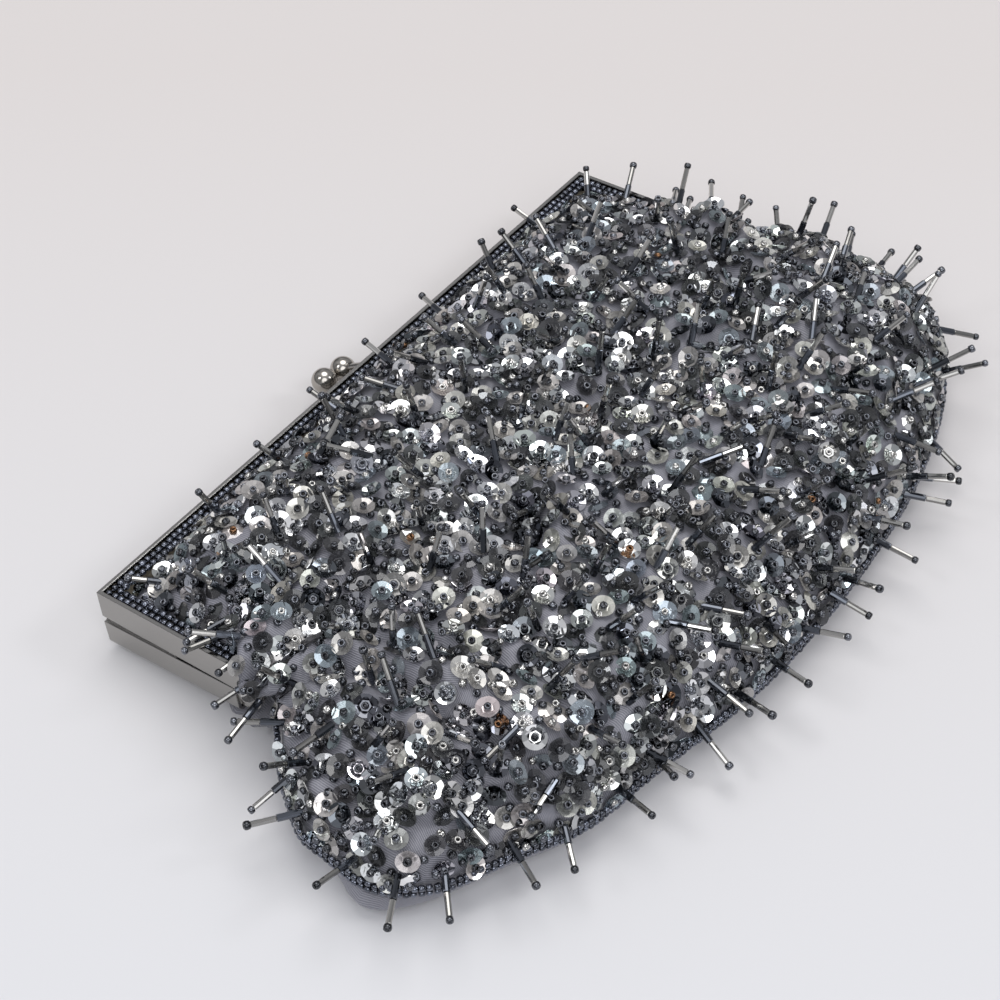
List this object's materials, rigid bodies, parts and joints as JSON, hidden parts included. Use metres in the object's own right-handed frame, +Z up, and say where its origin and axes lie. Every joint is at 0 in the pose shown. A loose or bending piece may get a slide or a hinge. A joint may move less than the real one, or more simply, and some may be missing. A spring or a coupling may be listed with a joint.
{
  "type": "kiss lock frame purse",
  "caption": "Beaded satin evening purse with a hinged metal kiss lock frame, shut and lying on its back.",
  "frame": {"origin": "on the surface that the purse lies on, below the middle of the hinge axis", "axes": "+X along the frame's bar, +Y from the bar towards the foot of the bag, +Z up out of the beaded front"},
  "size_m": [0.2252, 0.1432, 0.0422],
  "materials": {
    "gunmetal": "polished, dark nickel plating",
    "satin": "ribbed lilac-grey satin",
    "lining": "plain dark satin",
    "wadding": "soft white wadding",
    "stiffener": "stiff woven buckram",
    "cord": "twisted paper cord",
    "hematite_beads": "polished metallic glass",
    "dark_bugles": "polished metallic glass",
    "silver_bugles": "silver-lined clear glass",
    "sequins": "cupped metallic film",
    "thread": "grey beading thread"
  },
  "bodies": {
    "rear_half": {"rear_frame": "gunmetal", "hinge_rivets": "gunmetal", "rear_lock_stem": "gunmetal", "rear_lock_ball": "gunmetal", "rear_channel_cord": "cord", "rear_panel": "satin", "rear_stiffener": "stiffener", "rear_lining": "lining", "front_panel_lower": "satin", "front_wadding_lower": "wadding", "front_lining_lower": "lining", "front_panel_fold": "satin", "front_lining_fold": "lining", "seam_beads_outer": "hematite_beads", "seam_beads_inner": "hematite_beads", "lower_bugles_dark": "dark_bugles", "lower_bugles_silver": "silver_bugles", "lower_stop_beads": "hematite_beads", "lower_threads": "thread", "lower_sequins_field": "sequins", "lower_sequin_beads": "hematite_beads"},
    "front_half": {"front_frame": "gunmetal", "front_lock_stem": "gunmetal", "front_lock_ball": "gunmetal", "front_channel_cord": "cord", "front_panel_upper": "satin", "front_wadding_upper": "wadding", "front_lining_upper": "lining", "frame_beads_outer": "hematite_beads", "frame_beads_inner": "hematite_beads", "upper_bugles_dark": "dark_bugles", "upper_bugles_silver": "silver_bugles", "upper_stop_beads": "hematite_beads", "upper_threads": "thread", "upper_sequins_field": "sequins", "upper_sequin_beads": "hematite_beads"}
  },
  "joints": [
    {"name": "frame_hinge", "type": "hinge", "parent": "rear_half", "child": "front_half", "pos_m": [0, 0, 0.014], "axis": [-1, 0, 0], "range_deg": [0, 70], "deforming": ["front_panel_fold", "front_lining_fold"]}
  ]
}
